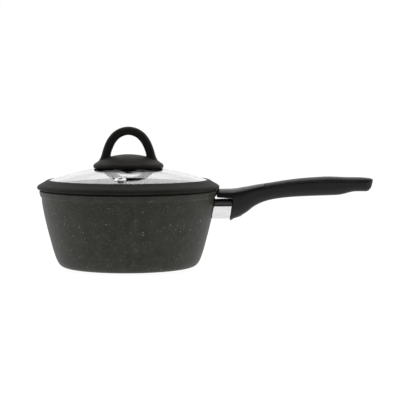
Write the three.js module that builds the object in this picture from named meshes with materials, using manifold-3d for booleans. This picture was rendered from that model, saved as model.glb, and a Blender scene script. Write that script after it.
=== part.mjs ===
// Saucepan with a domed glass lid, in millimetres, +Z up and +X along the handle.
// The origin is the centre of the base, on the plane the pan stands on.
// The lid lifts off along +Z and turns about Z.
import * as THREE from "three";
import { mergeVertices } from "three/addons/utils/BufferGeometryUtils.js";
import Module from "manifold-3d";

const wasm = await Module();
wasm.setup();

// ---------- driving dimensions ----------
const SEGMENTS = 48;              // facets round the pot and the lid
const GAP = 0.2;                  // clearance between assembled pieces

const POT_HEIGHT = 80;
const BASE_FLAT_R = 65.2;
const FLOOR_Z = 5;
const BAND_Z = 73.6;              // lower edge of the rim band
const RIM_OUTER_R = 93;
const RIM_INNER_R = 89.6;

const PLATE_R = 58;               // steel induction plate let into the base
const PLATE_THICK = 1;
const PLATE_HOLE_R = 3;

const GUARD_Z = 60.7;               // centre height of the flame guard and bracket
const GUARD_HALF_H = 10.4;
const GUARD_HALF_W = 15;
const GUARD_WALL = 1.2;
const GUARD_CORNER_R = 7.6;
const GUARD_WALL_GAP = 0.4;       // from the guard's end to the pot
const FACE_X = 109;               // front face of the handle at the tongue
const FACE_X_LOW = 105.8;         // front face of the handle at its lower tip
const FACE_LOW_Z = 47;
const TONGUE_Z = 71.8;            // underside of the tongue, which reaches over the guard to the rim
const TONGUE_SLOPE = 0.07;        // rise of that underside towards the rim
const TAIL_LEAN = 0.22;           // slant of the handle's end face
const HANDLE_END_X = 255.2;

const BRACKET_END_X = 124;
const BRACKET_HALF_W = 8.5;
const BRACKET_Z0 = 59.5;
const BRACKET_Z1 = 65.5;
const SCREW_X = 114.5;            // handle screw, driven up from below
const SCREW_SHELF_Z = 57;

const INLAY_X0 = 142.2;           // soft inlay along the top of the grip
const INLAY_X1 = 247.5;
const INLAY_DEPTH = 3.2;
const SLOT_X0 = 237;              // hanging slot in the tail
const SLOT_X1 = 248;
const SLOT_HALF_W = 4;

const DOME_TOP_Z = 105.5;         // glass dome: outer sphere
const DOME_R = 217;
const FLATTEN_R = 46;             // the dome flattens out a little beyond this radius
const FLATTEN = 0.001;
const GLASS_THICK = 4;
const GLASS_EDGE_R = 84.2;
const GLASS_HOLE_R = 4;
const SEAL_LIP_R = 82.6;
const SEAL_OUTER_R = 95.3;

const VENT_AT_R = 71;
const VENT_AZIMUTH = -93.6;       // degrees from +X
const VENT_FLANGE_R = 6;
const VENT_WASHER_R = 5.2;
const VENT_TUBE_R = 3.6;
const VENT_BORE_R = 2.4;

const KNOB_R = 36.6;
const KNOB_TOP_Z = 146.2;
const KNOB_BASE_TOP_Z = 117.4;
const KNOB_DOME_R = 76;
const KNOB_ARCH_DEPTH = 14;
const KNOB_ARCH_BEVEL = 3;
const INSERT_R = 3.9;
const KNOB_SCREW_R = 2;

// Handle sections along X: x, top z, bottom z, half width, top bevel.
const HANDLE_SECTIONS = [
  [88, 80.0, 46.0, 15.0, 4.2],
  [94.6, 80.3, 46.2, 15.4, 4.7],
  [106, 81.0, 48.2, 16.4, 4.8],
  [110, 81.2, 50.3, 16.6, 4.7],
  [115, 81.8, 52.0, 16.4, 3.8],
  [120, 82.8, 54.8, 15.8, 3.4],
  [125, 83.6, 58.1, 14.9, 2.9],
  [130, 84.6, 62.2, 13.9, 2.3],
  [135, 85.5, 65.1, 13.0, 1.8],
  [141, 86.5, 67.7, 12.2, 1.8],
  [149, 87.6, 70.0, 11.8, 2.6],
  [158, 89.1, 71.5, 12.0, 3.0],
  [168, 90.6, 72.6, 12.5, 3.0],
  [180, 92.0, 73.4, 13.2, 3.0],
  [194, 93.1, 74.0, 13.7, 2.9],
  [208, 93.8, 74.5, 13.9, 2.6],
  [218, 93.6, 74.9, 13.8, 2.4],
  [224, 93.3, 75.9, 13.6, 2.3],
  [230, 93.1, 77.5, 13.4, 2.2],
  [236, 93.1, 78.6, 13.0, 2.0],
  [246, 92.8, 78.7, 12.2, 1.8],
  [251, 92.5, 78.8, 11.0, 1.6],
  [253.8, 92.1, 80.3, 9.4, 1.4],
  [HANDLE_END_X, 91.3, 82.6, 7.8, 1.2]
];

// ---------- solids from three.js geometry ----------
function solid(geometry) {
  const bare = geometry.clone();
  bare.deleteAttribute("normal");
  bare.deleteAttribute("uv");
  const merged = mergeVertices(bare, 1e-5);
  return new wasm.Manifold(new wasm.Mesh({
    numProp: 3,
    vertProperties: new Float32Array(merged.attributes.position.array),
    triVerts: new Uint32Array(merged.index.array)
  }));
}

function geometryOf(manifold) {
  const mesh = manifold.getMesh();
  const geometry = new THREE.BufferGeometry();
  geometry.setAttribute("position", new THREE.BufferAttribute(new Float32Array(mesh.vertProperties), 3));
  geometry.setIndex(new THREE.BufferAttribute(new Uint32Array(mesh.triVerts), 1));
  geometry.computeVertexNormals();
  return geometry;
}

// Closed profile of [radius, z] pairs turned about Z. The pairs run anticlockwise in the r-z plane.
function turned(profile, segments = SEGMENTS) {
  const points = profile.map(([r, z]) => new THREE.Vector2(r, z));
  if (profile.every(([r]) => r > 0)) points.push(points[0].clone());
  return new THREE.LatheGeometry(points, segments).rotateX(Math.PI / 2);
}

function rod(radius, z0, z1, x = 0, y = 0, segments = 16) {
  const geometry = new THREE.CylinderGeometry(radius, radius, z1 - z0, segments);
  return geometry.rotateX(Math.PI / 2).translate(x, y, (z0 + z1) / 2);
}

function ring(inner, outer, z0, z1, segments = 16) {
  return turned([[inner, z0], [outer, z0], [outer, z1], [inner, z1]], segments);
}

// Outline of [x, z] pairs made into a slab across Y.
function slab(outline, halfWidth) {
  const shape = new THREE.Shape(outline.map(([x, z]) => new THREE.Vector2(x, z)));
  const geometry = new THREE.ExtrudeGeometry(shape, { depth: 2 * halfWidth, bevelEnabled: false });
  return geometry.rotateX(Math.PI / 2).translate(0, halfWidth, 0);
}

// Outline in the plane across X, made into a bar from x0 to x1.
function bar(shape, x0, x1, curveSegments = 8) {
  const geometry = new THREE.ExtrudeGeometry(shape, { depth: x1 - x0, bevelEnabled: false, curveSegments });
  return geometry.rotateX(Math.PI / 2).rotateZ(Math.PI / 2).translate(x0, 0, 0);
}

function roundedShape(halfW, halfH, radius) {
  const shape = new THREE.Shape();
  shape.moveTo(-halfW + radius, -halfH);
  shape.lineTo(halfW - radius, -halfH);
  shape.absarc(halfW - radius, -halfH + radius, radius, -Math.PI / 2, 0);
  shape.lineTo(halfW, halfH - radius);
  shape.absarc(halfW - radius, halfH - radius, radius, 0, Math.PI / 2);
  shape.lineTo(-halfW + radius, halfH);
  shape.absarc(-halfW + radius, halfH - radius, radius, Math.PI / 2, Math.PI);
  shape.lineTo(-halfW, -halfH + radius);
  shape.absarc(-halfW + radius, -halfH + radius, radius, Math.PI, 1.5 * Math.PI);
  return shape;
}

// ---------- pot ----------
const POT_WALL = [
  [BASE_FLAT_R, 0], [68.4, 0.5], [71, 1.8], [73.2, 4.2], [75.1, 7.6], [76.9, 12],
  [79, 18.5], [81.5, 28], [84.5, 39.5], [87.5, 52.5], [89.8, 65], [90.6, BAND_Z - 0.5]
];

function potBody() {
  const recess = PLATE_THICK + 0.1;
  const profile = [[0, recess], [PLATE_R + GAP, recess], [PLATE_R + GAP, 0], ...POT_WALL];
  profile.push([91.8, BAND_Z], [92.4, BAND_Z + 2.6], [RIM_OUTER_R, POT_HEIGHT - 1]);
  profile.push([RIM_OUTER_R - 1, POT_HEIGHT], [RIM_INNER_R + 0.5, POT_HEIGHT]);
  profile.push([RIM_INNER_R, POT_HEIGHT - 0.6], [88, 73], [87, 65], [84.6, 52.5], [81.6, 39.5], [78.4, 28]);
  profile.push([75, 17.5], [71.6, 10.5], [66.5, 6.4], [60, FLOOR_Z], [0, FLOOR_Z]);
  return turned(profile);
}

function inductionPlate() {
  let plate = solid(turned([[0, 0], [PLATE_R, 0], [PLATE_R, PLATE_THICK], [0, PLATE_THICK]]));
  for (const [radius, count] of [[24, 6], [44, 12]]) {
    for (let i = 0; i < count; i++) {
      const a = 2 * Math.PI * i / count;
      const hole = rod(PLATE_HOLE_R, -1, 2, radius * Math.cos(a), radius * Math.sin(a), 8);
      plate = plate.subtract(solid(hole));
    }
  }
  return geometryOf(plate);
}

// Space taken by the pot wall, grown by a clearance, as a cutter for the pieces that meet it.
function wallCutter(clearance) {
  const walls = POT_WALL.filter(([, z]) => z > 20).map(([r, z]) => [r + clearance, z]);
  const rim = RIM_OUTER_R + clearance;
  return solid(turned([[0, walls[0][1]], ...walls, [rim, BAND_Z], [rim, 90], [0, 90]]));
}

function handleBracket() {
  const tongue = roundedShape(BRACKET_HALF_W, (BRACKET_Z1 - BRACKET_Z0) / 2, 1);
  const arm = solid(bar(tongue, 84, BRACKET_END_X, 3).translate(0, 0, (BRACKET_Z0 + BRACKET_Z1) / 2));
  const foot = solid(bar(roundedShape(12, 7, 3), 84, 92, 4).translate(0, 0, GUARD_Z));
  const thread = solid(rod(2.5, 50, 70, SCREW_X));
  return geometryOf(arm.add(foot).subtract(wallCutter(0.05)).subtract(thread));
}

function flameGuard() {
  const sleeve = roundedShape(GUARD_HALF_W, GUARD_HALF_H, GUARD_CORNER_R);
  const hollowCorner = GUARD_CORNER_R - GUARD_WALL;
  const hollow = roundedShape(GUARD_HALF_W - GUARD_WALL, GUARD_HALF_H - GUARD_WALL, hollowCorner);
  const outer = solid(bar(sleeve, 84, 112, 8).translate(0, 0, GUARD_Z));
  const inner = solid(bar(hollow, 80, 116, 8).translate(0, 0, GUARD_Z));
  const slope = (FACE_X - FACE_X_LOW) / (TONGUE_Z - FACE_LOW_Z);
  const faceAt = (z) => FACE_X_LOW + slope * (z - FACE_LOW_Z) - GAP;
  const beyond = solid(slab([[faceAt(40), 40], [130, 40], [130, 80], [faceAt(80), 80]], 30));
  return geometryOf(outer.subtract(inner).subtract(wallCutter(GUARD_WALL_GAP)).subtract(beyond));
}

// ---------- handle ----------
// A cylinder whose rings are reshaped into the handle's sections.
function handleBlank() {
  const around = 20;
  const count = HANDLE_SECTIONS.length;
  const geometry = new THREE.CylinderGeometry(1, 1, count - 1, around, count - 1);
  const position = geometry.attributes.position;
  for (let i = 0; i < position.count; i++) {
    const station = Math.round((count - 1) / 2 - position.getY(i));
    const [x, top, bottom, halfWidth, bevel] = HANDLE_SECTIONS[station];
    const s = position.getX(i);
    const c = position.getZ(i);
    const middle = (top + bottom) / 2;
    const half = (top - bottom) / 2;
    const spread = s * s + c * c < 0.5 ? 0 : 1;   // 0 at the centre of an end cap
    const upper = c > 0;
    const power = upper ? 0.42 : 0.5;
    const y = spread * halfWidth * Math.sign(s) * Math.pow(Math.abs(s), power);
    let z = middle + spread * half * Math.sign(c) * Math.pow(Math.abs(c), power);
    const overBevel = halfWidth - bevel;
    if (upper && Math.abs(y) > overBevel) z = Math.min(z, top - (Math.abs(y) - overBevel) * 0.9);
    const lean = TAIL_LEAN * Math.max(0, (x - 244) / 11);
    position.setXYZ(i, x - lean * (top - z), y, z);
  }
  return solid(geometry);
}

function handleTopAt(x) {
  const next = HANDLE_SECTIONS.findIndex(([at]) => at > x);
  const [x0, top0] = HANDLE_SECTIONS[next - 1];
  const [x1, top1] = HANDLE_SECTIONS[next];
  return top0 + (top1 - top0) * (x - x0) / (x1 - x0);
}

function inlaySlab(clearance) {
  const inside = HANDLE_SECTIONS.map(([x]) => x).filter((x) => x > INLAY_X0 && x < INLAY_X1);
  const stations = [INLAY_X0, ...inside, INLAY_X1];
  const lower = stations.map((x) => [x, handleTopAt(x) - INLAY_DEPTH - clearance]);
  lower[0][0] -= clearance;
  lower[lower.length - 1][0] += clearance;
  return solid(slab([...lower, [INLAY_X1 + clearance, 100], [INLAY_X0 - clearance, 100]], 30));
}

function hangingSlot() {
  const x0 = SLOT_X0 + SLOT_HALF_W;
  const x1 = SLOT_X1 - SLOT_HALF_W;
  const ends = solid(rod(SLOT_HALF_W, 60, 110, x0)).add(solid(rod(SLOT_HALF_W, 60, 110, x1)));
  return ends.add(solid(slab([[x0, 60], [x1, 60], [x1, 110], [x0, 110]], SLOT_HALF_W)));
}

function handleBody(blank) {
  const faceLine = [[FACE_X, TONGUE_Z], [FACE_X_LOW, FACE_LOW_Z], [FACE_X_LOW, 38]];
  const front = solid(slab([[80, TONGUE_Z + TONGUE_SLOPE * (FACE_X - 80)], ...faceLine, [80, 38]], 30));
  const rim = solid(rod(RIM_OUTER_R + 0.3, 60, 90, 0, 0, 2 * SEGMENTS));
  const pocketShape = roundedShape(BRACKET_HALF_W + 0.3, (BRACKET_Z1 - BRACKET_Z0) / 2 + 0.3, 1.2);
  const pocketZ = (BRACKET_Z0 + BRACKET_Z1) / 2;
  const pocket = bar(pocketShape, 100, BRACKET_END_X + 0.6, 3).translate(0, 0, pocketZ);
  const bore = solid(rod(5.2, 40, SCREW_SHELF_Z, SCREW_X)).add(solid(rod(2.8, 50, 62, SCREW_X)));
  const body = blank.subtract(front).subtract(rim).subtract(solid(pocket)).subtract(bore);
  return geometryOf(body.subtract(inlaySlab(GAP)).subtract(hangingSlot()));
}

function handleInlay(blank) {
  return geometryOf(blank.intersect(inlaySlab(0)).subtract(hangingSlot()));
}

function roundHeadScrew(headR, headH, shankR, length, segments = 16) {
  const profile = [[0, 0], [headR * 0.62, 0], [headR * 0.9, headH * 0.3], [headR, headH * 0.65]];
  profile.push([headR, headH], [shankR, headH], [shankR, length - 0.6], [shankR - 0.6, length], [0, length]);
  const cross = solid(new THREE.BoxGeometry(headR, 1, 2.4)).add(solid(new THREE.BoxGeometry(1, headR, 2.4)));
  return geometryOf(solid(turned(profile, segments)).subtract(cross));
}

// ---------- lid ----------
const flattening = (r) => FLATTEN * Math.max(0, r - FLATTEN_R) ** 2;
const dome = (radius, r) => DOME_TOP_Z - DOME_R + Math.sqrt(radius ** 2 - r * r) + flattening(r);
const glassTop = (r) => dome(DOME_R, r);
const glassBottom = (r) => dome(DOME_R - GLASS_THICK, r);

function tilted(geometry, depth = 0) {
  const a = VENT_AZIMUTH * Math.PI / 180;
  const lean = Math.atan((glassTop(VENT_AT_R - 1) - glassTop(VENT_AT_R + 1)) / 2);
  const r = VENT_AT_R - depth * Math.sin(lean);
  const z = glassTop(VENT_AT_R) - depth * Math.cos(lean);
  return geometry.rotateY(lean).translate(r, 0, z).rotateZ(a);
}

function lidGlass() {
  const rings = [GLASS_HOLE_R, 24, 46, 62, 74, GLASS_EDGE_R - 0.6];
  const profile = rings.map((r) => [r, glassBottom(r)]);
  profile.push([GLASS_EDGE_R, glassBottom(GLASS_EDGE_R) + 0.7], [GLASS_EDGE_R, glassTop(GLASS_EDGE_R) - 0.7]);
  profile.push(...rings.slice().reverse().map((r) => [r, glassTop(r)]));
  const hole = tilted(rod(VENT_TUBE_R + GAP, -12, 6));
  return geometryOf(solid(turned(profile)).subtract(solid(hole)));
}

function lidRimSeal() {
  const profile = [
    [SEAL_LIP_R, glassTop(SEAL_LIP_R) + GAP], [SEAL_LIP_R + 0.6, 91.2], [85.2, 90.7], [88.9, 88.4],
    [93.2, 86.1], [94.9, 84.5], [SEAL_OUTER_R, 83.2], [94.9, 81.7], [92.4, POT_HEIGHT + 0.4],
    [88.6, POT_HEIGHT + GAP], [87.2, 73.6], [86, 72.6], [84.4, 73.6], [83.8, 80], [79.2, 84.4],
    [79.2, glassBottom(79.2) - GAP], [GLASS_EDGE_R + GAP, glassBottom(GLASS_EDGE_R) - GAP],
    [GLASS_EDGE_R + GAP, glassTop(GLASS_EDGE_R) + GAP]
  ];
  return turned(profile.reverse());
}

function ventEyelet() {
  const profile = [
    [VENT_BORE_R, -GLASS_THICK - 2.6], [VENT_TUBE_R, -GLASS_THICK - 2.6], [VENT_TUBE_R, 0.5],
    [VENT_FLANGE_R, 0.5], [VENT_FLANGE_R, 1], [VENT_FLANGE_R - 1, 1.9],
    [VENT_BORE_R + 1, 2], [VENT_BORE_R, 1.2]
  ];
  return tilted(turned(profile, 16));
}

function ventWasher() {
  return tilted(ring(VENT_TUBE_R + GAP, VENT_WASHER_R, -0.8, 0.4), GLASS_THICK + 1.2);
}

function lidKnob() {
  const domeAt = (r) => KNOB_BASE_TOP_Z - KNOB_DOME_R + Math.sqrt(KNOB_DOME_R ** 2 - r * r);
  const base = [];
  base.push([0, 116], [INSERT_R + 0.1, 116], [INSERT_R + 0.1, glassTop(4) + 1.4]);
  base.push([18, glassTop(18) + 1.4], [30.5, glassTop(30.5) + 1.4]);
  base.push([31.2, glassTop(31.2) + 0.3], [35.4, glassTop(35.4) + 0.3]);
  base.push([36.2, 103.3], [KNOB_R, 104.6], [KNOB_R, 105.8], [35.6, 107.4], [33.3, 108.9]);
  base.push([30, domeAt(30)], [22, domeAt(22)], [11, domeAt(11)], [0, KNOB_BASE_TOP_Z]);
  const outer = [
    [0, KNOB_TOP_Z], [6.2, 145.2], [12, 142.3], [16.9, 138.2], [19.8, 134.8], [22.7, 130],
    [24.9, 125.8], [26.5, 121.3], [27.6, 117.2], [28.8, 113], [30.4, 110.4], [29.6, 107.6]
  ];
  const window = [
    [0, 137.2], [6, 136], [9.1, 133.9], [12.8, 129.7], [15.6, 125.5], [17.5, 121.3],
    [18.5, 117.2], [19, 112.8]
  ];
  const both = (half) => [...half, ...half.slice(1).reverse().map(([x, z]) => [-x, z])];
  const vectors = (list) => list.map(([x, z]) => new THREE.Vector2(x, z));
  const shape = new THREE.Shape(vectors(both(outer)));
  shape.holes.push(new THREE.Path(vectors(both(window)).reverse()));
  const arch = new THREE.ExtrudeGeometry(shape, {
    depth: KNOB_ARCH_DEPTH - 2 * KNOB_ARCH_BEVEL, bevelThickness: KNOB_ARCH_BEVEL,
    bevelSize: KNOB_ARCH_BEVEL * 0.7, bevelOffset: -KNOB_ARCH_BEVEL * 0.7, bevelSegments: 2
  });
  arch.translate(0, 0, KNOB_ARCH_BEVEL - KNOB_ARCH_DEPTH / 2).rotateX(Math.PI / 2);
  const socket = solid(rod(INSERT_R + 0.1, 100, 116));
  return geometryOf(solid(arch).add(solid(turned(base))).subtract(socket));
}

function knobGasket() {
  const rings = [5, 17, 29.5];
  const lower = rings.map((r) => [r, glassTop(r) + 0.2]);
  const upper = rings.slice().reverse().map((r) => [r, glassTop(r) + 1.2]);
  return turned([...lower, ...upper], 24);
}

function knobInsert() {
  return ring(KNOB_SCREW_R + 0.1, INSERT_R, glassTop(0) + 1.6, 115.7);
}

// ---------- scene graph ----------
const COATING = { color: 0x3b3d3a, roughness: 0.62, metalness: 0.1 };
const ALUMINIUM = { color: 0xb9bbbd, roughness: 0.42, metalness: 1 };
const STEEL = { color: 0xc9cacc, roughness: 0.25, metalness: 1 };
const PHENOLIC = { color: 0x1c1c1c, roughness: 0.5, metalness: 0 };
const SOFT_TOUCH = { color: 0x3f3e3c, roughness: 0.8, metalness: 0 };
const SILICONE = { color: 0x30302f, roughness: 0.68, metalness: 0 };
const GLASS = { color: 0xe6eeec, roughness: 0.05, metalness: 0, transparent: true, opacity: 0.35 };
const BRASS = { color: 0xb5924a, roughness: 0.35, metalness: 1 };

const group = new THREE.Group();

function place(name, geometry, look, z = 0) {
  const mesh = new THREE.Mesh(geometry, new THREE.MeshStandardMaterial(look));
  mesh.name = name;
  mesh.position.z = z;
  group.add(mesh);
  return mesh;
}

const blank = handleBlank();

place("pot_body", potBody(), COATING);
place("induction_plate", inductionPlate(), STEEL);
place("handle_bracket", handleBracket(), ALUMINIUM);
place("flame_guard", flameGuard(), STEEL);
place("handle_body", handleBody(blank), PHENOLIC);
place("handle_inlay", handleInlay(blank), SOFT_TOUCH);
place("handle_washer", ring(2.7, 4.8, 56, 56.8), STEEL).position.x = SCREW_X;
place("handle_lock_washer", ring(2.7, 4.4, 55, 55.8), STEEL).position.x = SCREW_X;
place("handle_screw", roundHeadScrew(4.6, 2.8, 2.3, 13), STEEL, 52).position.x = SCREW_X;

place("lid_rim_seal", lidRimSeal(), SILICONE);
place("lid_glass", lidGlass(), GLASS);
place("vent_eyelet", ventEyelet(), STEEL);
place("vent_washer", ventWasher(), STEEL);
place("lid_knob", lidKnob(), PHENOLIC);
place("knob_gasket", knobGasket(), SILICONE);
place("knob_insert", knobInsert(), BRASS);
place("knob_lower_gasket", ring(2.8, 9, 99.9, 100.9), SILICONE);
place("knob_washer", ring(2.6, 8, 98.8, 99.7), STEEL);
place("knob_screw", roundHeadScrew(4.4, 2.6, KNOB_SCREW_R, 17.5), STEEL, 96);

export default group;
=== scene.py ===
"""Saucepan with a domed glass lid: the looks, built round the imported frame.

Lengths in the code are millimetres until they become vertices.
"""

import math

import bmesh
import bpy
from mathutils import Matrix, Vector


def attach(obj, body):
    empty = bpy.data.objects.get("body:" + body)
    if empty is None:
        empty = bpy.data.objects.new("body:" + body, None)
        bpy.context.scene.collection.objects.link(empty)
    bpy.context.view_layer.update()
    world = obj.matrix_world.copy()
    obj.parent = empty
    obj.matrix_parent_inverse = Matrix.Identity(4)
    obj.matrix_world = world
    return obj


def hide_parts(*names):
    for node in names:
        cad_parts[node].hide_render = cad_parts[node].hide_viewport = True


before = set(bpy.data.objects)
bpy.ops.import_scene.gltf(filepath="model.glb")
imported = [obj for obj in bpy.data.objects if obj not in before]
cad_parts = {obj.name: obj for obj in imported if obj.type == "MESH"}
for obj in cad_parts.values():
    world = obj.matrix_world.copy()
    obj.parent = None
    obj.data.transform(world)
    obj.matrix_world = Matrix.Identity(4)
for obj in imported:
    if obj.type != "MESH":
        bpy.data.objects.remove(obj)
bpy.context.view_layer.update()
MM = 0.001
ON_AXIS = 1e-6

# ---------------------------------------------------------------- mesh helpers


def new_object(name, verts, faces, material, smooth=True):
    mesh = bpy.data.meshes.new(name)
    mesh.from_pydata([tuple(c * MM for c in v) for v in verts], [], faces)
    mesh.validate()
    mesh.materials.append(material)
    for p in mesh.polygons:
        p.use_smooth = smooth
    obj = bpy.data.objects.new(name, mesh)
    bpy.context.scene.collection.objects.link(obj)
    return obj


def outward(obj):
    bm = bmesh.new()
    bm.from_mesh(obj.data)
    bmesh.ops.recalc_face_normals(bm, faces=bm.faces)
    bm.to_mesh(obj.data)
    bm.free()


def apply_modifiers(obj):
    depsgraph = bpy.context.evaluated_depsgraph_get()
    mesh = bpy.data.meshes.new_from_object(obj.evaluated_get(depsgraph))
    old = obj.data
    obj.modifiers.clear()
    obj.data = mesh
    bpy.data.meshes.remove(old)


def boolean(obj, other, operation):
    mod = obj.modifiers.new("cut", "BOOLEAN")
    mod.object = other
    mod.operation = operation
    mod.solver = "EXACT"
    apply_modifiers(obj)
    bpy.data.objects.remove(other)


def auto_smooth(obj, degrees=35):
    """Smooth shading with hard edges where the surface turns by more than that."""
    for p in obj.data.polygons:
        p.use_smooth = True
    bm = bmesh.new()
    bm.from_mesh(obj.data)
    limit = math.radians(degrees)
    for e in bm.edges:
        e.smooth = len(e.link_faces) != 2 or e.calc_face_angle(0) < limit
    bm.to_mesh(obj.data)
    bm.free()


def moulded(obj, voxel, passes, keep):
    """Rounds every edge a little, as a mould does: remesh, relax and thin out again."""
    mod = obj.modifiers.new("remesh", "REMESH")
    mod.mode = "VOXEL"
    mod.voxel_size = voxel * MM
    mod.adaptivity = 0
    mod = obj.modifiers.new("relax", "SMOOTH")
    mod.factor = 0.5
    mod.iterations = passes
    mod = obj.modifiers.new("thin", "DECIMATE")
    mod.ratio = keep
    apply_modifiers(obj)
    for p in obj.data.polygons:
        p.use_smooth = True


def rounded(points, radii, steps=4):
    """A closed or open line of (r, z) with its corners rounded by the radii given, 0 for a sharp one."""
    out = []
    n = len(points)
    for i, p in enumerate(points):
        radius = radii[i]
        if not radius:
            out.append(tuple(p))
            continue
        a = Vector(points[(i - 1) % n]) - Vector(p)
        b = Vector(points[(i + 1) % n]) - Vector(p)
        angle = a.angle(b)
        cut = min(radius / math.tan(angle / 2), a.length * 0.49, b.length * 0.49)
        start = Vector(p) + a.normalized() * cut
        end = Vector(p) + b.normalized() * cut
        for k in range(steps + 1):
            t = k / steps
            q = start.lerp(Vector(p), t).lerp(Vector(p).lerp(end, t), t)
            out.append((q.x, q.y))
    return out


def flowing(points, per=6):
    """A smooth line through the points."""
    out = []
    n = len(points)
    for i in range(n - 1):
        p0 = Vector(points[max(i - 1, 0)])
        p1 = Vector(points[i])
        p2 = Vector(points[i + 1])
        p3 = Vector(points[min(i + 2, n - 1)])
        for k in range(per):
            t = k / per
            square = 2 * p0 - 5 * p1 + 4 * p2 - p3
            cube = 3 * p1 - p0 - 3 * p2 + p3
            q = 0.5 * (2 * p1 + (p2 - p0) * t + square * t * t + cube * t ** 3)
            out.append(tuple(q))
    out.append(tuple(points[-1]))
    return out


def revolve(name, profile, material, segments=192):
    """Turns a line of (radius, z) about Z.

    A line that starts and ends on the axis is capped there. Any other one closes on itself.
    """
    closed = profile[0][0] > ON_AXIS
    turns = [2 * math.pi * k / segments for k in range(segments)]
    verts, rings = [], []
    for r, z in profile:
        if r < ON_AXIS:
            rings.append([len(verts)] * segments)
            verts.append((0, 0, z))
        else:
            rings.append(list(range(len(verts), len(verts) + segments)))
            verts += [(r * math.cos(a), r * math.sin(a), z) for a in turns]
    faces = []
    pairs = list(zip(rings, rings[1:])) + ([(rings[-1], rings[0])] if closed else [])
    for a, b in pairs:
        for k in range(segments):
            j = (k + 1) % segments
            f = [a[k], a[j], b[j], b[k]]
            f = [v for i, v in enumerate(f) if v not in f[:i]]
            if len(f) > 2:
                faces.append(f)
    obj = new_object(name, verts, faces, material)
    outward(obj)
    return obj


def loft(name, rings, material):
    """Skin over rings of equal length, closed with a fan at both ends."""
    n = len(rings[0])
    verts = [v for ring in rings for v in ring]
    faces = []
    for i in range(len(rings) - 1):
        for k in range(n):
            j = (k + 1) % n
            faces.append([i * n + k, i * n + j, (i + 1) * n + j, (i + 1) * n + k])
    for ring in (0, len(rings) - 1):
        centre = [sum(v[c] for v in rings[ring]) / n for c in range(3)]
        verts.append(centre)
        for k in range(n):
            faces.append([ring * n + k, ring * n + (k + 1) % n, len(verts) - 1])
    obj = new_object(name, verts, faces, material)
    outward(obj)
    return obj


def prism(name, outline, low, high, axis="Y"):
    """A block with that outline: (x, z) across Y, or (x, y) along Z."""
    n = len(outline)
    if axis == "Y":
        verts = [(x, low, z) for x, z in outline] + [(x, high, z) for x, z in outline]
    else:
        verts = [(x, y, low) for x, y in outline] + [(x, y, high) for x, y in outline]
    faces = [list(range(n)), list(range(n, 2 * n))]
    faces += [[k, (k + 1) % n, n + (k + 1) % n, n + k] for k in range(n)]
    obj = new_object(name, verts, faces, BLACK, False)
    outward(obj)
    return obj


def moved(obj, x=0, y=0, z=0):
    for v in obj.data.vertices:
        v.co += Vector((x, y, z)) * MM
    return obj


def stand_for(obj, body, slot, *nodes):
    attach(obj, body)
    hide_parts(*nodes)
    return obj


# ---------------------------------------------------------------- materials


def linear(level):
    c = level / 255
    return c / 12.92 if c <= 0.04045 else ((c + 0.055) / 1.055) ** 2.4


def grey(r, g=None, b=None):
    g = r if g is None else g
    b = r if b is None else b
    return (linear(r), linear(g), linear(b), 1)


def fill_ramp(node, stops):
    elements = node.color_ramp.elements
    elements[0].position = stops[0][0]
    elements[1].position = stops[-1][0]
    for at, level in stops[1:-1]:
        elements.new(at)
    for element, (at, level) in zip(sorted(elements, key=lambda e: e.position), stops):
        element.color = level if isinstance(level, tuple) else (level, level, level, 1)


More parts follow.
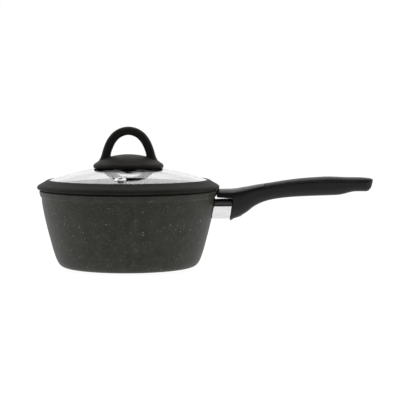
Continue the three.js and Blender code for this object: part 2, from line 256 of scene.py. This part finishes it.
class Look:
    """A node material with a short way of writing its nodes."""

    def __init__(self, name):
        self.mat = bpy.data.materials.new(name)
        self.mat.use_nodes = True
        self.tree = self.mat.node_tree
        self.tree.nodes.clear()
        self.out = self.tree.nodes.new("ShaderNodeOutputMaterial")
        self.shader = self.tree.nodes.new("ShaderNodeBsdfPrincipled")
        self.link(self.shader, "BSDF", self.out, "Surface")
        self.coords = self.tree.nodes.new("ShaderNodeTexCoord")

    def link(self, a, out, b, socket):
        self.tree.links.new(a.outputs[out], b.inputs[socket])

    def set(self, **values):
        for key, value in values.items():
            self.shader.inputs[key.replace("_", " ")].default_value = value

    def noise(self, scale, detail=3, roughness=0.5, distortion=0.0, stretch=(1, 1, 1)):
        node = self.tree.nodes.new("ShaderNodeTexNoise")
        node.inputs["Scale"].default_value = scale
        node.inputs["Detail"].default_value = detail
        node.inputs["Roughness"].default_value = roughness
        node.inputs["Distortion"].default_value = distortion
        if stretch == (1, 1, 1):
            self.link(self.coords, "Object", node, "Vector")
        else:
            mapping = self.tree.nodes.new("ShaderNodeMapping")
            mapping.inputs["Scale"].default_value = stretch
            self.link(self.coords, "Object", mapping, "Vector")
            self.link(mapping, "Vector", node, "Vector")
        return node

    def ramp(self, source, out, stops):
        node = self.tree.nodes.new("ShaderNodeValToRGB")
        fill_ramp(node, stops)
        self.link(source, out, node, "Fac")
        return node

    def mix(self, fac, fac_out, a, b):
        """Mixes two colours by a node's output; a and b are (node, output) or plain colours."""
        node = self.tree.nodes.new("ShaderNodeMix")
        node.data_type = "RGBA"
        sockets = [s for s in node.inputs if s.type == "RGBA"]
        self.tree.links.new(fac.outputs[fac_out], node.inputs[0])
        for socket, value in zip(sockets, (a, b)):
            if isinstance(value, tuple) and isinstance(value[0], bpy.types.Node):
                self.tree.links.new(value[0].outputs[value[1]], socket)
            else:
                socket.default_value = value
        return node

    def math(self, operation, a, b):
        node = self.tree.nodes.new("ShaderNodeMath")
        node.operation = operation
        for i, value in enumerate((a, b)):
            if isinstance(value, tuple):
                self.tree.links.new(value[0].outputs[value[1]], node.inputs[i])
            else:
                node.inputs[i].default_value = value
        return node

    def bump(self, source, out, distance, strength):
        node = self.tree.nodes.new("ShaderNodeBump")
        node.inputs["Strength"].default_value = strength
        node.inputs["Distance"].default_value = distance * MM
        self.link(source, out, node, "Height")
        self.link(node, "Normal", self.shader, "Normal")

    def colour(self, node):
        if node.type == "MIX":
            mixed = [s for s in node.outputs if s.type == "RGBA"][0]
            self.tree.links.new(mixed, self.shader.inputs["Base Color"])
        else:
            self.link(node, "Color", self.shader, "Base Color")

    def rough(self, node):
        self.link(node, "Color", self.shader, "Roughness")


def plain_look(name, low, high, rough, scale=300, grain=0.02, **sockets):
    """A moulded or cast finish: a faint mottle between two greys and a fine grain."""
    look = Look(name)
    mottle = look.noise(scale * 0.25, 4, 0.6)
    look.colour(look.ramp(mottle, "Fac", [(0.35, low), (0.65, high)]))
    fine = look.noise(scale, 3, 0.6)
    look.rough(look.ramp(fine, "Fac", [(0.3, rough[0]), (0.7, rough[1])]))
    grained = look.noise(scale * 8, 2, 0.5)
    look.bump(grained, "Fac", grain, 0.35)
    look.set(**sockets)
    return look.mat


def stone_look():
    """Stone-look coating: dark grey-green ground, a cloudy mottle and many small pale flecks."""
    look = Look("stone_coating")
    cloud = look.noise(90, 5, 0.62, 0.4)
    ground = look.ramp(cloud, "Fac", [(0.32, grey(33, 34, 28)), (0.68, grey(49, 50, 42))])
    flecks = None
    for scale, share, size, shift in ((300, 0.88, 0.27, 0.0), (520, 0.82, 0.30, 3.7), (850, 0.76, 0.34, 8.3)):
        warp = look.noise(scale * 2.2, 2, 0.5)
        shifted = look.tree.nodes.new("ShaderNodeVectorMath")
        shifted.operation = "MULTIPLY_ADD"
        look.link(warp, "Color", shifted, 0)
        shifted.inputs[1].default_value = (0.003, 0.003, 0.003)
        look.link(look.coords, "Object", shifted, 2)
        placed = look.tree.nodes.new("ShaderNodeVectorMath")
        placed.operation = "ADD"
        look.link(shifted, "Vector", placed, 0)
        placed.inputs[1].default_value = (shift, shift, shift)
        cells = look.tree.nodes.new("ShaderNodeTexVoronoi")
        cells.inputs["Scale"].default_value = scale
        look.link(placed, "Vector", cells, "Vector")
        near = look.ramp(cells, "Distance", [(size * 0.6, 1.0), (size, 0.0)])
        pick = look.tree.nodes.new("ShaderNodeSeparateColor")
        look.link(cells, "Color", pick, "Color")
        chosen = look.ramp(pick, "Red", [(share, 0.0), (min(share + 0.25, 1), 1.0)])
        both = look.math("MULTIPLY", (near, "Color"), (chosen, "Color"))
        flecks = both if flecks is None else look.math("MAXIMUM", (flecks, "Value"), (both, "Value"))
    strength = look.math("MULTIPLY", (flecks, "Value"), 0.54)
    look.colour(look.mix(strength, "Value", (ground, "Color"), grey(150, 150, 140)))
    fine = look.noise(700, 3, 0.6)
    look.rough(look.ramp(fine, "Fac", [(0.3, 0.45), (0.7, 0.58)]))
    look.bump(fine, "Fac", 0.05, 0.5)
    look.set(Specular_IOR_Level=0.3)
    return look.mat


def metal_look(name, low, high, rough, stretch, scale=60):
    look = Look(name)
    streaks = look.noise(scale, 3, 0.6, 0.0, stretch)
    look.colour(look.ramp(streaks, "Fac", [(0.3, low), (0.7, high)]))
    look.rough(look.ramp(streaks, "Fac", [(0.3, rough[0]), (0.7, rough[1])]))
    look.set(Metallic=1.0)
    return look.mat


def glass_look():
    look = Look("tempered_glass")
    film = look.noise(30, 2, 0.5)
    look.rough(look.ramp(film, "Fac", [(0.35, 0.0), (0.7, 0.012)]))
    look.set(Base_Color=(0.985, 0.995, 0.99, 1), IOR=1.5, Transmission_Weight=1.0)
    return look.mat


BLACK = plain_look("phenolic", grey(9, 9, 8), grey(12, 12, 11),
                   (0.36, 0.46), 300, 0.02, Specular_IOR_Level=0.38)
KNOB_BLACK = plain_look("knob_phenolic", grey(35, 34, 32), grey(41, 40, 38),
                        (0.42, 0.5), 300, 0.02, Specular_IOR_Level=0.04)
SOFT = plain_look("soft_touch", grey(31, 30, 29), grey(38, 37, 36),
                  (0.5, 0.6), 420, 0.03, Specular_IOR_Level=0.27)
SILICONE = plain_look("silicone", grey(34, 34, 32), grey(40, 40, 38),
                      (0.5, 0.6), 260, 0.02, Specular_IOR_Level=0.05)
STONE = stone_look()
POLISHED = metal_look("polished_steel", grey(214), grey(228), (0.05, 0.1), (1, 1, 12))
VENT_STEEL = metal_look("vent_steel", grey(195), grey(212), (0.2, 0.3), (1, 1, 12))
STEEL = metal_look("steel", grey(188), grey(208), (0.25, 0.4), (1, 12, 1))
CAST = metal_look("cast_aluminium", grey(170), grey(195), (0.4, 0.55), (1, 1, 1), 400)
BRASS = metal_look("brass", grey(200, 165, 95), grey(215, 180, 110), (0.25, 0.35), (1, 1, 10))
GLASS = glass_look()

# ---------------------------------------------------------------- pot

POT_HEIGHT = 80
RIM_OUTER_R = 93
RIM_INNER_R = 89.6
PLATE_R = 58
FLOOR_Z = 5
BASE_FLAT_R = 65.4
# Outside of the wall from the base to the rim band: radius, z
WALL = [(BASE_FLAT_R, 0.0), (68.4, 0.45), (71.1, 1.8), (73.3, 4.2), (75.2, 7.6), (76.9, 12), (79.0, 18.5),
        (81.5, 28), (84.5, 39.5), (87.5, 52.5), (89.8, 65), (90.7, 72.9)]
wall_line = flowing(WALL, 5)


def wall_radius(z):
    """The wall's outer radius at that height."""
    for (r0, z0), (r1, z1) in zip(wall_line, wall_line[1:]):
        if z <= z1:
            return r0 + (r1 - r0) * (z - z0) / (z1 - z0)
    return wall_line[-1][0]


def pot_body():
    recess = 1.1
    foot = rounded([(PLATE_R + 0.2, recess), (PLATE_R + 0.2, 0), (BASE_FLAT_R, 0)], [0, 0.25, 0])
    band = rounded([WALL[-1], (91.1, 73.5), (91.9, 74.0), (92.4, 76), (RIM_OUTER_R, 79.0),
                    (92.0, POT_HEIGHT), (90.2, POT_HEIGHT), (RIM_INNER_R, 79.4)],
                   [0, 0.3, 0.5, 1.5, 0.5, 0.6, 0.6, 0.5], 3)[1:]
    inside = flowing([(RIM_INNER_R, 78.8), (88.3, 74), (87.2, 66), (84.7, 52.5), (81.7, 39.5), (78.5, 28),
                      (75.1, 17.5), (71.6, 10.6), (66.5, 6.6), (60, FLOOR_Z), (30, FLOOR_Z), (0, FLOOR_Z)], 4)
    return revolve("pot_shell", [(0, recess)] + foot[:-1] + wall_line + band + inside, STONE, 288)


def induction_plate():
    edge = rounded([(0, 0), (PLATE_R, 0), (PLATE_R, 1), (0, 1)], [0, 0.25, 0.1, 0])
    plate = revolve("base_disc", edge, STEEL, 192)
    for radius, count in ((24, 6), (44, 12)):
        for i in range(count):
            a = 2 * math.pi * i / count
            drill = revolve("drill", [(0, -1), (3, -1), (3, 2), (0, 2)], STEEL, 32)
            boolean(plate, moved(drill, radius * math.cos(a), radius * math.sin(a)), "DIFFERENCE")
    auto_smooth(plate)
    return plate


stand_for(pot_body(), "pot", "stone_coating", "pot_body")
stand_for(induction_plate(), "pot", "steel", "induction_plate")

# ---------------------------------------------------------------- handle

GUARD_Z = 60.7
GUARD_HALF_H = 10.4
GUARD_HALF_W = 15
GUARD_WALL = 1.2
GUARD_CORNER_R = 7.6
GUARD_POT_GAP = 0.4
GUARD_FACE_GAP = 0.2
FACE_X = 109.0
FACE_X_LOW = 105.8
FACE_LOW_Z = 47.0
TONGUE_Z = 71.8
TONGUE_SLOPE = 0.07
SCREW_X = 114.5
TAIL_LEAN, TAIL_LEAN_FROM_X, TAIL_LEAN_OVER = 0.22, 244, 11
INLAY_X0, INLAY_X1 = 142.2, 247.5
INLAY_DEPTH = 3.2
SLOT_X0, SLOT_X1, SLOT_HALF_W = 237, 248, 4

# x, top z, bottom z, half width, top bevel
SECTIONS = [
    (88, 80.6, 46.0, 15.0, 4.2), (94.6, 80.9, 46.2, 15.4, 4.7), (106, 81.0, 48.2, 16.4, 4.8),
    (110, 81.2, 50.3, 16.6, 4.7), (115, 81.8, 52.0, 16.4, 3.8), (120, 82.8, 54.8, 15.8, 3.4),
    (125, 83.6, 58.1, 14.9, 2.9), (130, 84.6, 62.2, 13.9, 2.3), (135, 85.5, 65.1, 13.0, 1.8),
    (141, 86.5, 67.7, 12.2, 1.8), (149, 87.6, 70.0, 11.8, 2.6), (158, 89.1, 71.5, 12.0, 3.0),
    (168, 90.6, 72.6, 12.5, 3.0), (180, 92.0, 73.4, 13.2, 3.0), (194, 93.1, 74.0, 13.7, 2.9),
    (208, 93.8, 74.5, 13.9, 2.6), (218, 93.6, 74.9, 13.8, 2.4), (224, 93.3, 75.9, 13.6, 2.3),
    (230, 93.1, 77.5, 13.4, 2.2), (236, 93.1, 78.6, 13.0, 2.0), (246, 92.8, 78.7, 12.2, 1.8),
    (251, 92.5, 78.8, 11.0, 1.6), (253.8, 92.1, 80.3, 9.4, 1.4), (255.2, 91.3, 82.6, 7.8, 1.2)]


def section(x, top, bottom, half_width, bevel, around=96):
    """One ring of the grip: a squared oval with a bevel along each side of the top."""
    middle, half = (top + bottom) / 2, (top - bottom) / 2
    lean = TAIL_LEAN * max(0.0, (x - TAIL_LEAN_FROM_X) / TAIL_LEAN_OVER)
    ring = []
    for k in range(around):
        a = 2 * math.pi * k / around
        s, c = math.sin(a), math.cos(a)
        power = 0.42 if c > 0 else 0.5
        y = half_width * math.copysign(abs(s) ** power, s)
        z = middle + half * math.copysign(abs(c) ** power, c)
        over = abs(y) - (half_width - bevel)
        if c > 0 and over > 0:
            z = min(z, top - over * 0.9)
        ring.append((x - lean * (top - z), y, z))
    return ring


def handle_blank(name):
    """The whole outside of the grip, before anything is cut from it."""
    return loft(name, [section(*station) for station in flowing(SECTIONS, 4)], BLACK)


def inlay_block(name, gap):
    """The space of the inlay, from its underside to well above the grip, grown by the gap."""
    x0, x1 = INLAY_X0 - gap, INLAY_X1 + gap
    low = [(x, top - INLAY_DEPTH - gap) for x, top, *_ in flowing(SECTIONS, 4) if x0 <= x <= x1]
    low = [(x0, low[0][1])] + low + [(x1, low[-1][1])]
    return prism(name, low + [(x1, 110), (x0, 110)], -40, 40)


def slot_cutter():
    outline = []
    for centre, start in ((SLOT_X1 - SLOT_HALF_W, -90), (SLOT_X0 + SLOT_HALF_W, 90)):
        for k in range(17):
            a = math.radians(start + 180 * k / 16)
            outline.append((centre + SLOT_HALF_W * math.cos(a), SLOT_HALF_W * math.sin(a)))
    return prism("slot", outline, 60, 120, "Z")


def handle_body():
    body = handle_blank("handle_grip")
    rise = TONGUE_SLOPE * (FACE_X - 60)
    front = [(60, TONGUE_Z + rise), (FACE_X, TONGUE_Z), (FACE_X_LOW, FACE_LOW_Z),
             (FACE_X_LOW - 0.5, 38), (60, 38)]
    boolean(body, prism("front", front, -40, 40), "DIFFERENCE")
    clear = RIM_OUTER_R + 0.3
    boolean(body, revolve("rim_cut", [(0, 60), (clear, 60), (clear, 90), (0, 90)], BLACK, 288), "DIFFERENCE")
    pocket = prism("pocket", [(100, 59.2), (124.6, 59.2), (124.6, 65.8), (100, 65.8)], -8.8, 8.8)
    boolean(body, pocket, "DIFFERENCE")
    for radius, low, high in ((5.2, 30, 57), (2.8, 50, 62)):
        drill = revolve("drill", [(0, low), (radius, low), (radius, high), (0, high)], BLACK, 48)
        boolean(body, moved(drill, SCREW_X), "DIFFERENCE")
    boolean(body, inlay_block("seat", 0.2), "DIFFERENCE")
    boolean(body, slot_cutter(), "DIFFERENCE")
    moulded(body, 0.4, 4, 0.35)
    return body


def handle_inlay():
    pad = handle_blank("grip_inlay")
    boolean(pad, inlay_block("keep", -0.05), "INTERSECT")
    boolean(pad, slot_cutter(), "DIFFERENCE")
    pad.data.materials.clear()
    pad.data.materials.append(SOFT)
    moulded(pad, 0.4, 3, 0.4)
    for p in pad.data.polygons:
        p.material_index = 0
    return pad


def flame_guard():
    """A bent steel sleeve: its left end follows the pot's wall, its right end the handle's slanted face."""
    around = 96
    slope = (FACE_X - FACE_X_LOW) / (TONGUE_Z - FACE_LOW_Z)

    def outline(inset):
        half_w, half_h, radius = GUARD_HALF_W - inset, GUARD_HALF_H - inset, GUARD_CORNER_R - inset
        cy, cz = half_w - radius, half_h - radius
        corners = []
        for side, level, start in ((1, 1, 0), (-1, 1, 90), (-1, -1, 180), (1, -1, 270)):
            for k in range(around // 4):
                a = math.radians(start + 90 * k / (around // 4 - 1))
                y = side * cy + radius * math.cos(a)
                corners.append((y, GUARD_Z + level * cz + radius * math.sin(a)))
        return corners

    def left(y, z):
        r = wall_radius(z) + GUARD_POT_GAP
        return math.sqrt(r * r - y * y)

    def right(z):
        return FACE_X_LOW + slope * (z - FACE_LOW_Z) - GUARD_FACE_GAP

    rings = []
    for inset, shift in ((0.3, 0), (0.08, 0.08), (0, 0.3)):
        rings.append([(left(y, z) + shift, y, z) for y, z in outline(inset)])
    for k in range(1, 12):
        t = k / 12
        rings.append([(left(y, z) * (1 - t) + right(z) * t, y, z) for y, z in outline(0)])
    for inset, shift in ((0, 0.3), (0.08, 0.08), (0.3, 0), (0.9, 0), (1.12, 0.08), (GUARD_WALL, 0.3)):
        rings.append([(right(z) - shift, y, z) for y, z in outline(inset)])
    for k in range(11, 0, -1):
        t = k / 12
        rings.append([(left(y, z) * (1 - t) + right(z) * t, y, z) for y, z in outline(GUARD_WALL)])
    for inset, shift in ((GUARD_WALL, 0.3), (1.12, 0.08), (0.9, 0)):
        rings.append([(left(y, z) + shift, y, z) for y, z in outline(inset)])
    n = len(rings[0])
    verts = [v for ring in rings for v in ring]
    faces = []
    for i in range(len(rings)):
        for k in range(n):
            a, b = i * n, ((i + 1) % len(rings)) * n
            j = (k + 1) % n
            faces.append([a + k, a + j, b + j, b + k])
    obj = new_object("flame_sleeve", verts, faces, POLISHED)
    bm = bmesh.new()
    bm.from_mesh(obj.data)
    bmesh.ops.remove_doubles(bm, verts=bm.verts, dist=1e-6)
    bmesh.ops.recalc_face_normals(bm, faces=bm.faces)
    bm.to_mesh(obj.data)
    bm.free()
    return obj


def screw(name, x, z, head_r, head_h, shank_r, length):
    """A round-headed screw, head down, with a cross recess and a grooved shank."""
    profile = rounded([(0, 0), (head_r * 0.62, 0), (head_r * 0.92, head_h * 0.3), (head_r, head_h * 0.65),
                       (head_r, head_h), (shank_r, head_h)], [0, 0.6, 0.6, 0.6, 0.2, 0.2])
    pitch, depth = 0.8, 0.25
    at, end = head_h + 0.6, length - 1.2
    while at < end:
        profile += [(shank_r, at), (shank_r - depth, at + pitch / 2)]
        at += pitch
    profile += [(shank_r, at), (shank_r - 0.6, length), (0, length)]
    obj = revolve(name, profile, STEEL, 48)
    for turn in (0, 1):
        w, d = (head_r * 0.55, 0.5) if turn == 0 else (0.5, head_r * 0.55)
        boolean(obj, prism("recess", [(-w, -d), (w, -d), (w, d), (-w, d)], -1, 1.4, "Z"), "DIFFERENCE")
    auto_smooth(obj, 30)
    return moved(obj, x, 0, z)


def washer(name, inner, outer, z0, z1, material, x=0):
    profile = rounded([(inner, z0), (outer, z0), (outer, z1), (inner, z1)], [0.15] * 4, 3)
    return moved(revolve(name, profile, material, 64), x)


stand_for(handle_body(), "pot", "phenolic", "handle_body")
stand_for(handle_inlay(), "pot", "soft_touch", "handle_inlay")
stand_for(flame_guard(), "pot", "polished_steel", "flame_guard")
stand_for(screw("grip_screw", SCREW_X, 52, 4.6, 2.8, 2.3, 13), "pot", "steel", "handle_screw")
stand_for(washer("grip_washer", 2.7, 4.8, 56, 56.8, STEEL, SCREW_X), "pot", "steel", "handle_washer")
lock_washer = washer("grip_lock_washer", 2.7, 4.4, 55, 55.8, STEEL, SCREW_X)
stand_for(lock_washer, "pot", "steel", "handle_lock_washer")
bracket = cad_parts["handle_bracket"]
bracket.data.materials.clear()
bracket.data.materials.append(CAST)

# ---------------------------------------------------------------- lid

DOME_TOP_Z = 105.5
DOME_R = 217
GLASS_THICK = 4
EDGE_R = 84.2
FLATTEN_R = 46
FLATTEN = 0.001
LIP_R = 82.6
VENT_AT_R = 71
VENT_AZIMUTH = -93.6
CROWN_TOP_Z = 117.4
CROWN_R = 76


def dome(radius, r):
    """A sphere about the dome's centre that flattens out a little beyond FLATTEN_R."""
    return DOME_TOP_Z - DOME_R + math.sqrt(radius ** 2 - r * r) + FLATTEN * max(0, r - FLATTEN_R) ** 2


def glass_top(r):
    return dome(DOME_R, r)


def glass_bottom(r):
    return dome(DOME_R - GLASS_THICK, r)


def on_vent(obj, depth=0):
    """Leans a piece made about Z so that it stands square to the glass at the vent."""
    lean = math.atan((glass_top(VENT_AT_R - 1) - glass_top(VENT_AT_R + 1)) / 2)
    a = math.radians(VENT_AZIMUTH)
    r = VENT_AT_R - depth * math.sin(lean)
    z = glass_top(VENT_AT_R) - depth * math.cos(lean)
    for v in obj.data.vertices:
        x, y, h = v.co / MM
        along = x * math.cos(lean) + h * math.sin(lean) + r
        up = h * math.cos(lean) - x * math.sin(lean) + z
        v.co = Vector((along * math.cos(a) - y * math.sin(a), along * math.sin(a) + y * math.cos(a), up)) * MM
    return obj


def lid_glass():
    low = [4 + (EDGE_R - 4.8) * k / 40 for k in range(41)]
    profile = [(r, glass_bottom(r)) for r in low]
    mid = (glass_bottom(EDGE_R) + glass_top(EDGE_R)) / 2
    half = (glass_top(EDGE_R) - glass_bottom(EDGE_R)) / 2
    for a in [math.radians(t) for t in range(-60, 61, 20)]:
        profile.append((EDGE_R - 0.8 + 0.8 * math.cos(a), mid + half * 0.92 * math.sin(a)))
    profile += [(r, glass_top(r)) for r in reversed(low)]
    obj = revolve("dome_glass", profile, GLASS, 240)
    drill = revolve("drill", [(0, -14), (3.8, -14), (3.8, 8), (0, 8)], GLASS, 48)
    boolean(obj, on_vent(drill), "DIFFERENCE")
    auto_smooth(obj, 40)
    return obj


def rim_seal():
    points = [(LIP_R, glass_top(LIP_R) + 0.2), (83.2, 91.2), (85.2, 90.6), (88.9, 88.3), (93.2, 86.0),
              (94.9, 84.5), (95.3, 83.2), (94.9, 81.7), (92.4, 80.5), (88.6, 80.3), (87.2, 73.6),
              (86, 72.6), (84.4, 73.6), (83.8, 80), (79.2, 84.6), (79.2, glass_bottom(79.2) - 0.2),
              (EDGE_R + 0.2, glass_bottom(EDGE_R) - 0.2), (EDGE_R + 0.2, glass_top(EDGE_R) + 0.2)]
    radii = [0.1, 0.5, 1.5, 4, 3, 1.5, 1.5, 1.0, 0.8, 0.4, 1, 0.8, 0.8, 3, 0.5, 0.2, 0.3, 0.3]
    return revolve("rim_seal_ring", rounded(points, radii, 5), SILICONE, 288)


def vent_eyelet():
    profile = rounded([(2.4, -6.6), (3.6, -6.6), (3.6, 0.5), (6, 0.5), (6, 1.0), (5.0, 1.9), (3.4, 2.0),
                       (2.4, 1.2)], [0.2, 0.2, 0.05, 0.2, 0.5, 0.8, 0.8, 0.8], 5)
    return on_vent(revolve("vent_ring", profile, VENT_STEEL, 72))


def knob():
    """A round base with a domed top and an arched grip over it, moulded in one."""
    def crown(r):
        return CROWN_TOP_Z - CROWN_R + math.sqrt(CROWN_R ** 2 - r * r)

    under = [(0, 116), (4, 116)] + [(r, glass_top(r) + 1.4) for r in (4, 10, 18, 25, 30.5)]
    edge = [(r, glass_top(r) + 0.3) for r in (31.2, 35.5)]
    edge += [(36.4, 103.3), (36.8, 104.6), (36.7, 105.9), (35.7, 107.4), (33.4, 108.9)]
    top = [(r, crown(r)) for r in (30, 25, 20, 15, 10, 5, 0)]
    base = revolve("lid_grip", under + edge + top, KNOB_BLACK, 128)
    # Half of the arch, from the top to the base: middle line x, z, half thickness, half depth along Y.
    half = [(0, 141.8, 4.4, 6.4), (6.8, 140.5, 4.5, 6.5), (12.8, 137.0, 4.55, 6.6),
            (17.4, 131.6, 4.6, 6.8), (20.5, 125.5, 4.6, 7.0), (22.6, 119.4, 4.6, 7.4),
            (23.7, 114.0, 5.1, 8.6), (24.6, 109.4, 6.4, 10.5)]
    full = [(-x, z, t, d) for x, z, t, d in reversed(half[1:])] + half
    line = flowing(full, 6)
    rings = []
    for i, (x, z, t, d) in enumerate(line):
        x0, z0 = line[max(i - 1, 0)][:2]
        x1, z1 = line[min(i + 1, len(line) - 1)][:2]
        length = math.hypot(x1 - x0, z1 - z0)
        nx, nz = (z1 - z0) / length, -(x1 - x0) / length
        ring = []
        for k in range(40):
            a = 2 * math.pi * k / 40
            u = t * math.copysign(abs(math.cos(a)) ** 0.75, math.cos(a))
            v = d * math.copysign(abs(math.sin(a)) ** 0.75, math.sin(a))
            ring.append((x + nx * u, v, z + nz * u))
        rings.append(ring)
    arch = loft("arch", rings, KNOB_BLACK)
    boolean(base, arch, "UNION")
    moulded(base, 0.38, 5, 0.5)
    for p in base.data.polygons:
        p.material_index = 0
    return base


def knob_gasket():
    low = [(r, glass_top(r) + 0.2) for r in (5, 11, 17, 23, 29.5)]
    return revolve("lid_grip_gasket", low + [(r, z + 1.0) for r, z in reversed(low)], SILICONE, 96)


stand_for(rim_seal(), "lid_seal", "silicone", "lid_rim_seal")
stand_for(lid_glass(), "lid", "glass", "lid_glass")
stand_for(vent_eyelet(), "lid", "polished_steel", "vent_eyelet")
vent_nut_section = rounded([(3.8, -0.8), (5.2, -0.8), (5.2, 0.4), (3.8, 0.4)], [0.1, 0.3, 0.1, 0.1])
vent_nut = revolve("vent_nut", vent_nut_section, STEEL, 64)
stand_for(on_vent(vent_nut, GLASS_THICK + 1.2), "lid", "steel", "vent_washer")
stand_for(knob(), "lid", "knob_phenolic", "lid_knob")
stand_for(knob_gasket(), "lid", "silicone", "knob_gasket")
stand_for(washer("lid_lower_gasket", 2.8, 9, 99.9, 100.9, SILICONE), "lid", "silicone", "knob_lower_gasket")
stand_for(washer("lid_washer", 2.6, 8, 98.8, 99.7, STEEL), "lid", "steel", "knob_washer")
stand_for(screw("lid_screw", 0, 96, 4.4, 2.6, 2.0, 17.5), "lid", "steel", "knob_screw")
stand_for(washer("lid_insert", 2.1, 3.9, glass_top(0) + 1.6, 115.7, BRASS), "lid", "brass", "knob_insert")

# ---------------------------------------------------------------- stage, light and camera

FLOOR_FRONT_Y, FLOOR_HALF_W = -7500, 5000
CURVE_Y, CURVE_R, BACKDROP_Z = 1500, 700, 1000
# Brightness against the sine of the angle above the floor, to the right and to the back.
WORLD_UP = [(-1, 0.9), (0, 0.95), (0.4, 1.1), (0.68, 1.9), (0.76, 1.6), (0.86, 0.6), (1, 0.5)]
WORLD_SIDE = [(-1, 2.3), (-0.6, 1.0), (0.6, 1.0), (1, 1.6)]
WORLD_DEPTH = [(-1, 0.025), (-0.35, 0.06), (0.05, 0.9), (1, 1.0)]
RAMP_SCALE = 4    # a ramp holds levels up to 1, so they are divided by this and multiplied back


def cyclorama():
    """A pale floor that curves up into a low backdrop."""
    look = Look("stage_white")
    cloud = look.noise(2, 2)
    look.colour(look.ramp(cloud, "Fac", [(0.3, (0.09, 0.09, 0.09, 1)), (0.7, (0.11, 0.11, 0.11, 1))]))
    look.set(Roughness=0.9, Specular_IOR_Level=0.1, Emission_Color=(1, 1, 1, 1), Emission_Strength=0.95)
    line = [(FLOOR_FRONT_Y, 0), (CURVE_Y, 0)]
    for a in [math.radians(t) for t in range(6, 91, 6)]:
        line.append((CURVE_Y + CURVE_R * math.sin(a), CURVE_R - CURVE_R * math.cos(a)))
    line.append((CURVE_Y + CURVE_R, BACKDROP_Z))
    verts, faces = [], []
    for y, z in line:
        verts += [(-FLOOR_HALF_W, y, z), (FLOOR_HALF_W, y, z)]
    for i in range(len(line) - 1):
        faces.append([2 * i, 2 * i + 1, 2 * i + 3, 2 * i + 2])
    return new_object("stage_floor", verts, faces, look.mat)


def studio_world():
    """Light by direction: dim from below, plain white low down, brighter to the sides and overhead."""
    world = bpy.data.worlds.new("studio")
    world.use_nodes = True
    tree = world.node_tree
    coords = tree.nodes.new("ShaderNodeTexCoord")
    split = tree.nodes.new("ShaderNodeSeparateXYZ")
    tree.links.new(coords.outputs["Generated"], split.inputs[0])
    total = None
    for axis, stops in (("Z", WORLD_UP), ("X", WORLD_SIDE), ("Y", WORLD_DEPTH)):
        span = tree.nodes.new("ShaderNodeMapRange")
        span.inputs["From Min"].default_value = -1
        tree.links.new(split.outputs[axis], span.inputs["Value"])
        ramp = tree.nodes.new("ShaderNodeValToRGB")
        fill_ramp(ramp, [((at + 1) / 2, level / RAMP_SCALE) for at, level in stops])
        tree.links.new(span.outputs["Result"], ramp.inputs["Fac"])
        product = tree.nodes.new("ShaderNodeMath")
        product.operation = "MULTIPLY"
        product.inputs[0].default_value = RAMP_SCALE
        tree.links.new(ramp.outputs["Color"], product.inputs[1])
        if total is not None:
            scaled = product
            product = tree.nodes.new("ShaderNodeMath")
            product.operation = "MULTIPLY"
            tree.links.new(total, product.inputs[0])
            tree.links.new(scaled.outputs["Value"], product.inputs[1])
        total = product.outputs["Value"]
    tree.nodes["Background"].inputs["Color"].default_value = (1, 1, 1, 1)
    tree.links.new(total, tree.nodes["Background"].inputs["Strength"])
    return world


def area_light(name, at, target, size, power):
    data = bpy.data.lights.new(name, "AREA")
    data.energy = power
    data.size = size
    obj = bpy.data.objects.new(name, data)
    obj.location = at
    obj.rotation_euler = (Vector(target) - Vector(at)).to_track_quat("-Z", "Y").to_euler()
    bpy.context.scene.collection.objects.link(obj)
    return obj


CAMERA_LENS = 126.9
CAMERA_AT = (0.0748, -1.4735, 0.174)
CAMERA_TILT = 0.0709    # radians below the horizontal

cyclorama()
scene = bpy.context.scene
scene.world = studio_world()
area_light("top_box", (0.08, 0.05, 1.6), (0.08, 0, 0.05), 1.1, 12)
scene.view_settings.view_transform = "Standard"

camera = bpy.data.cameras.new("camera")
camera.sensor_width = 36
camera.lens = CAMERA_LENS
camera.clip_end = 50
eye = bpy.data.objects.new("camera", camera)
eye.location = CAMERA_AT
eye.rotation_euler = (math.radians(90) - CAMERA_TILT, 0, 0)
scene.collection.objects.link(eye)
scene.camera = eye
